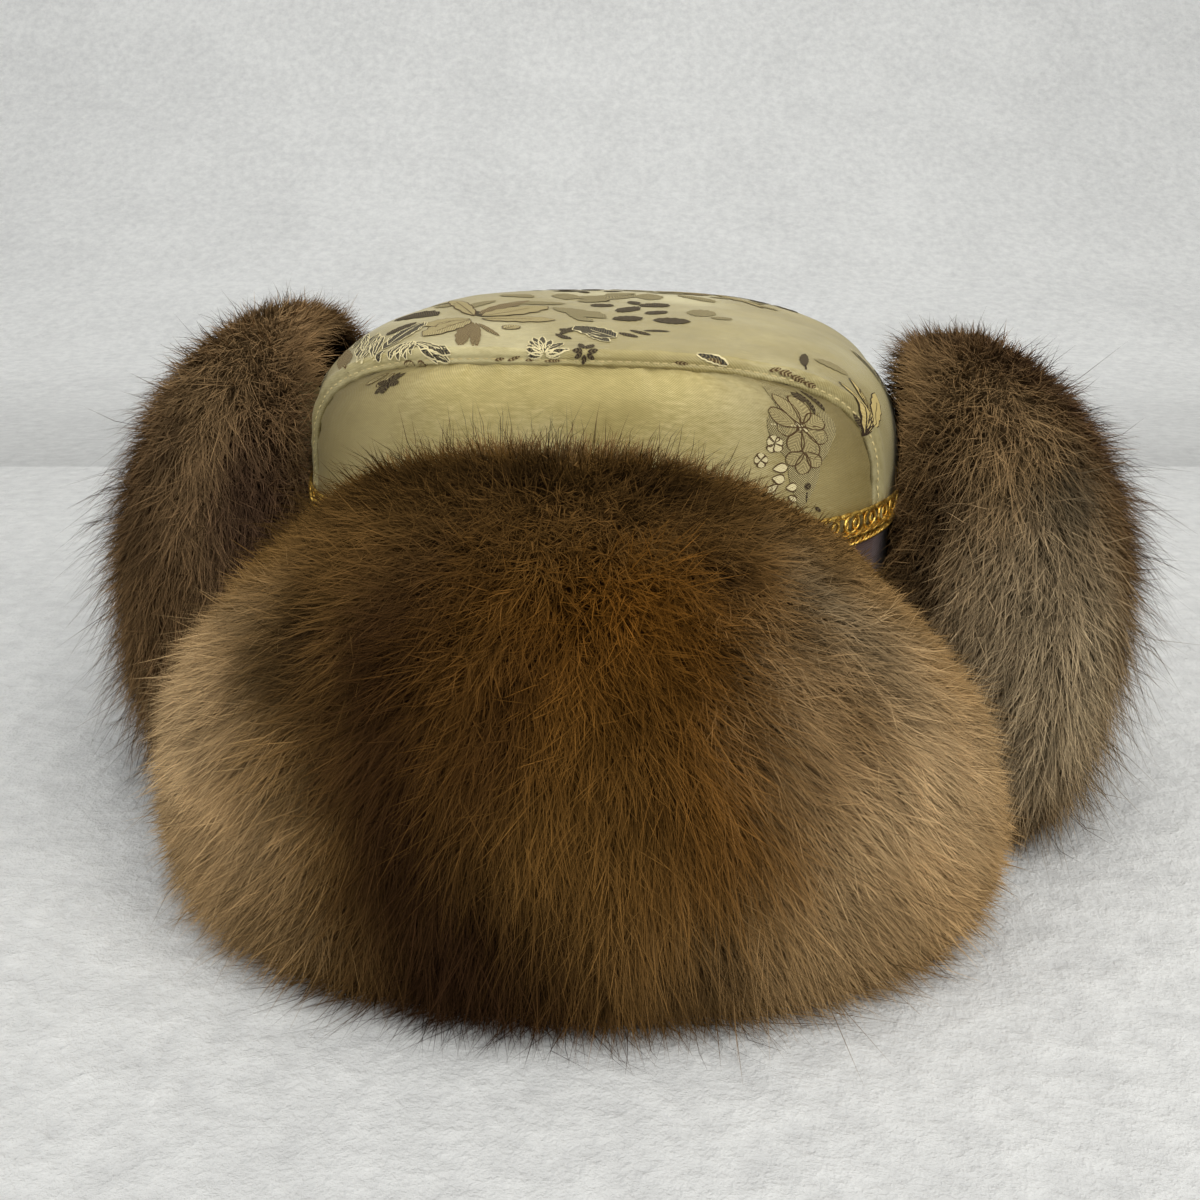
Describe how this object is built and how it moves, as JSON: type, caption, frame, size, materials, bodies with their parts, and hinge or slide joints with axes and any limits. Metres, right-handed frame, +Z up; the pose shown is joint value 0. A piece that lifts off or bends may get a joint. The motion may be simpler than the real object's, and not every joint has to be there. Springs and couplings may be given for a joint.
{
  "type": "four-flap fur hat",
  "caption": "Winter hat with a padded brocade crown, braid round its foot and deep fur flaps turned up on all sides, open below for the head.",
  "frame": {"origin": "centre of the footprint on the surface that the rim stands on", "axes": "+Z up through the crown, -Y to the front of the hat, +X to the hat's side that a viewer in front sees on the right"},
  "size_m": [0.346, 0.335, 0.1619],
  "materials": {
    "brocade": "pale gold satin brocade with dark woven flowers",
    "band_cloth": "plain dark red-brown cloth",
    "gold_braid": "metallic gold thread braid",
    "flap_cloth": "plain gold satin",
    "fur": "deep brown fur with dark guard hairs"
  },
  "bodies": {
    "root": {"crown_strip": "brocade", "crown_front_panel": "brocade", "crown_back_panel": "brocade", "crown_band": "band_cloth", "braid_scalloped": "gold_braid", "braid_cord": "gold_braid", "front_flap_cloth": "flap_cloth", "right_flap_cloth": "flap_cloth", "back_flap_cloth": "flap_cloth", "left_flap_cloth": "flap_cloth", "front_flap_fur": "fur", "right_flap_fur": "fur", "back_flap_fur": "fur", "left_flap_fur": "fur"}
  },
  "joints": []
}
